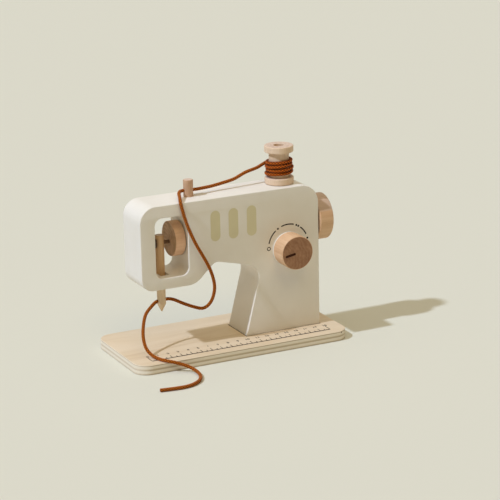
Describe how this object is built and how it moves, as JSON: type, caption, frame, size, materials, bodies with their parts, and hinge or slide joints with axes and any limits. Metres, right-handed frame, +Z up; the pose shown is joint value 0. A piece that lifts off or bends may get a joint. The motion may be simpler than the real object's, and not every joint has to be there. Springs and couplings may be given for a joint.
{
  "type": "toy sewing machine",
  "caption": "Wooden toy sewing machine on a plywood ruler base: handwheel drives a crank disc and needle bar in the head window, with a dial knob, thread spool, guide pin and loose thread",
  "frame": {"origin": "middle of the base board's underside, the loose thread left aside", "axes": "+X along the ruler to the handwheel, +Y to the rear, +Z up"},
  "size_m": [0.2128, 0.1476, 0.1801],
  "materials": {
    "plywood": "clear matt lacquer on birch plywood",
    "painted_wood": "satin cream paint",
    "beech": "fine sanded, oiled",
    "turned_wood": "turned and oiled",
    "screw_steel": "zinc plated",
    "pin_steel": "dark oxide",
    "washer": "dark leather",
    "thread": "braided cotton"
  },
  "bodies": {
    "machine": {"base_board": "plywood", "front_panel": "painted_wood", "core_upper": "painted_wood", "core_lower": "painted_wood", "rear_panel": "painted_wood", "panel_dowels": "beech", "base_screws": "screw_steel", "shaft_bearing_left": "beech", "shaft_bearing_right": "beech", "thread_guide_pin": "beech", "spool_pin": "beech", "thread_upper": "thread", "thread_lower": "thread"},
    "drive": {"drive_shaft": "beech", "handwheel": "turned_wood", "wheel_washer": "washer", "crank_disc": "turned_wood", "crank_pin": "pin_steel", "crank_pin_cap": "pin_steel"},
    "needle": {"needle_bar": "beech", "thread_eye": "thread"},
    "dial": {"dial_knob": "turned_wood", "dial_axle": "beech", "dial_collar": "beech"},
    "reel": {"spool": "beech", "thread_winding": "thread"}
  },
  "joints": [
    {"name": "handwheel_turn", "type": "hinge", "parent": "machine", "child": "drive", "pos_m": [0, 0, 0.1073], "axis": [1, 0, 0], "continuous": true},
    {"name": "needle_pivot", "type": "hinge", "parent": "drive", "child": "needle", "pos_m": [-0.0611, 0, 0.1048], "axis": [1, 0, 0], "continuous": true},
    {"name": "dial_turn", "type": "hinge", "parent": "machine", "child": "dial", "pos_m": [0.0589, -0.028, 0.0868], "axis": [0, 1, 0], "continuous": true},
    {"name": "spool_spin", "type": "hinge", "parent": "machine", "child": "reel", "pos_m": [0.0606, 0, 0.16], "axis": [0, 0, 1], "continuous": true}
  ],
  "couplings": [
    {"joint": "needle_pivot", "follows": "handwheel_turn", "ratio": -1}
  ]
}
